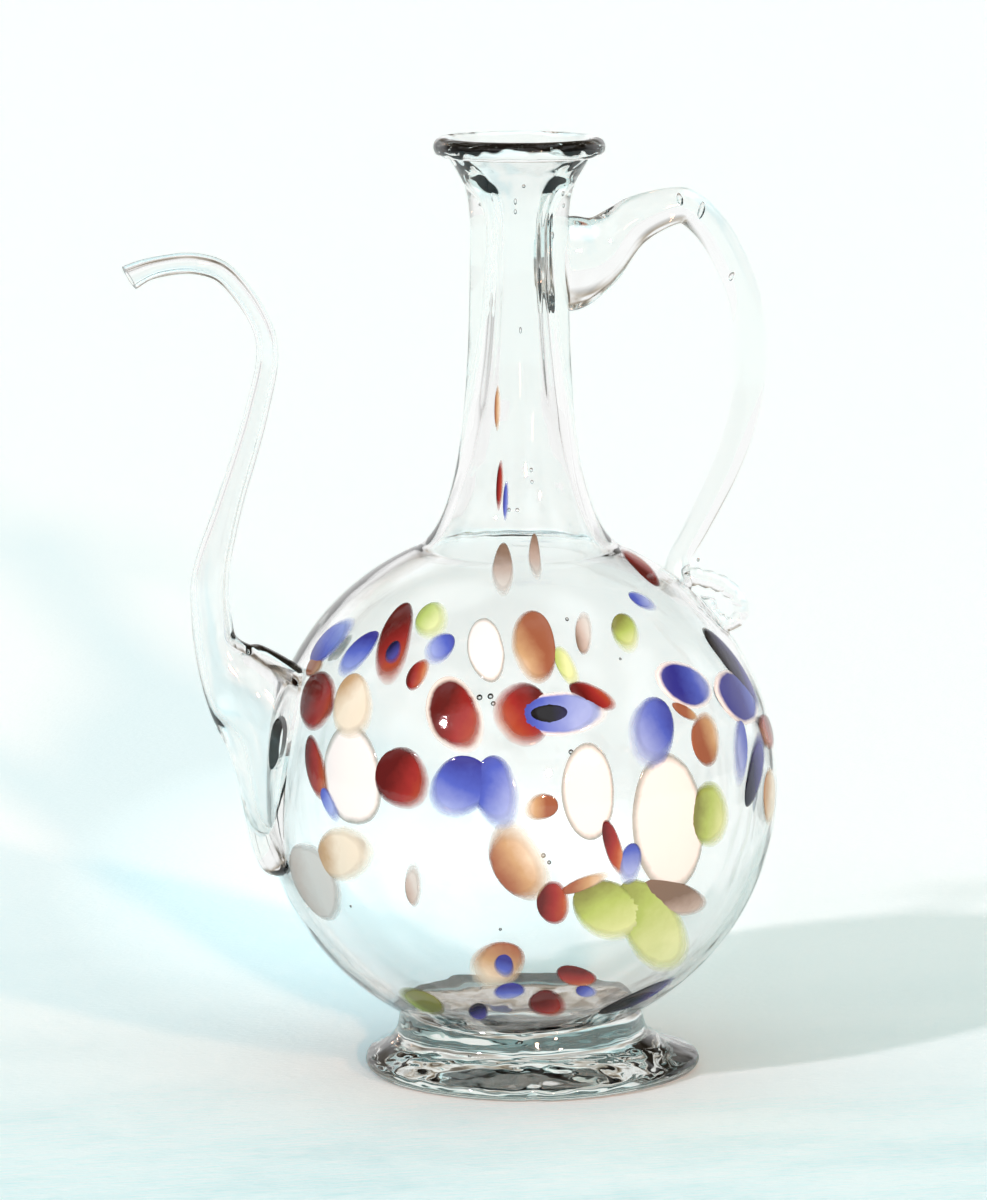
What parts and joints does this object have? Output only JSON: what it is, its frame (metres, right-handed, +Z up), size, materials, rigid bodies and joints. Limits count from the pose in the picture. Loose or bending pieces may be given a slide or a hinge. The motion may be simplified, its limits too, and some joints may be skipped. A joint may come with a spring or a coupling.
{
  "type": "glass jug",
  "caption": "Free-blown clear glass jug with a round body, tall flared neck, spread foot, long curved spout, pulled handle and melted colour spots.",
  "frame": {"origin": "middle of the foot's flat underside, below the axis of the body and neck", "axes": "+Z up along the neck, +X towards the handle, -X towards the spout"},
  "size_m": [0.1692, 0.1336, 0.2393],
  "materials": {
    "clear_glass": "clear, glossy, faintly blue-green where it is thick",
    "red_glass": "glossy, nearly opaque oxblood red",
    "amber_glass": "glossy, clouded amber brown",
    "blue_glass": "glossy, clouded blue",
    "navy_glass": "glossy, nearly black blue",
    "white_glass": "glossy, milky white",
    "green_glass": "glossy, clouded yellow-green",
    "grey_glass": "glossy, smoky grey-brown"
  },
  "bodies": {
    "root": {"body": "clear_glass", "foot": "clear_glass", "spout": "clear_glass", "handle": "clear_glass", "red_spots": "red_glass", "amber_spots": "amber_glass", "blue_spots": "blue_glass", "navy_spots": "navy_glass", "white_spots": "white_glass", "green_spots": "green_glass", "grey_spots": "grey_glass"}
  },
  "joints": []
}
